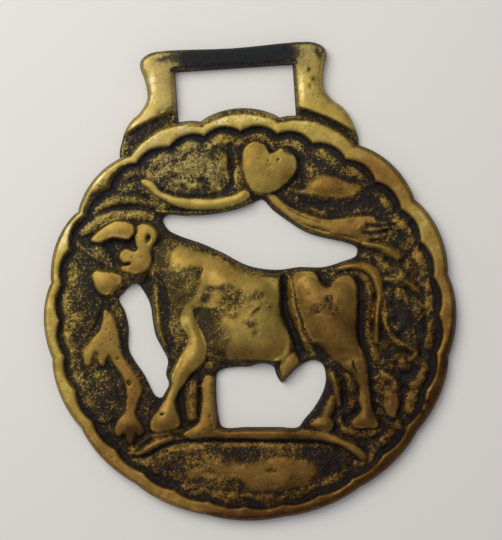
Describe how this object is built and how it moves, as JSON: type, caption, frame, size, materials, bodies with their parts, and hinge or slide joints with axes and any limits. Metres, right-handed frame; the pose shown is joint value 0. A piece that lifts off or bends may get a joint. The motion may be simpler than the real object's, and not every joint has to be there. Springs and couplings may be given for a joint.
{
  "type": "horse brass",
  "caption": "Round pierced cast brass harness ornament with a scalloped rim, a bull standing under swagged curtains with a heart, and a wide strap loop on top.",
  "frame": {"origin": "centre of the round disc on its flat back face", "axes": "+Z out of the flat back towards the relief, +Y up from the disc's centre through the middle of the strap loop, +X to the viewer's right as the relief is seen"},
  "size_m": [0.0756, 0.087, 0.0045],
  "materials": {
    "brass": "worn polish on the high parts, dark brown-black patina in the recesses"
  },
  "bodies": {
    "root": {"horse_brass": "brass"}
  },
  "joints": []
}
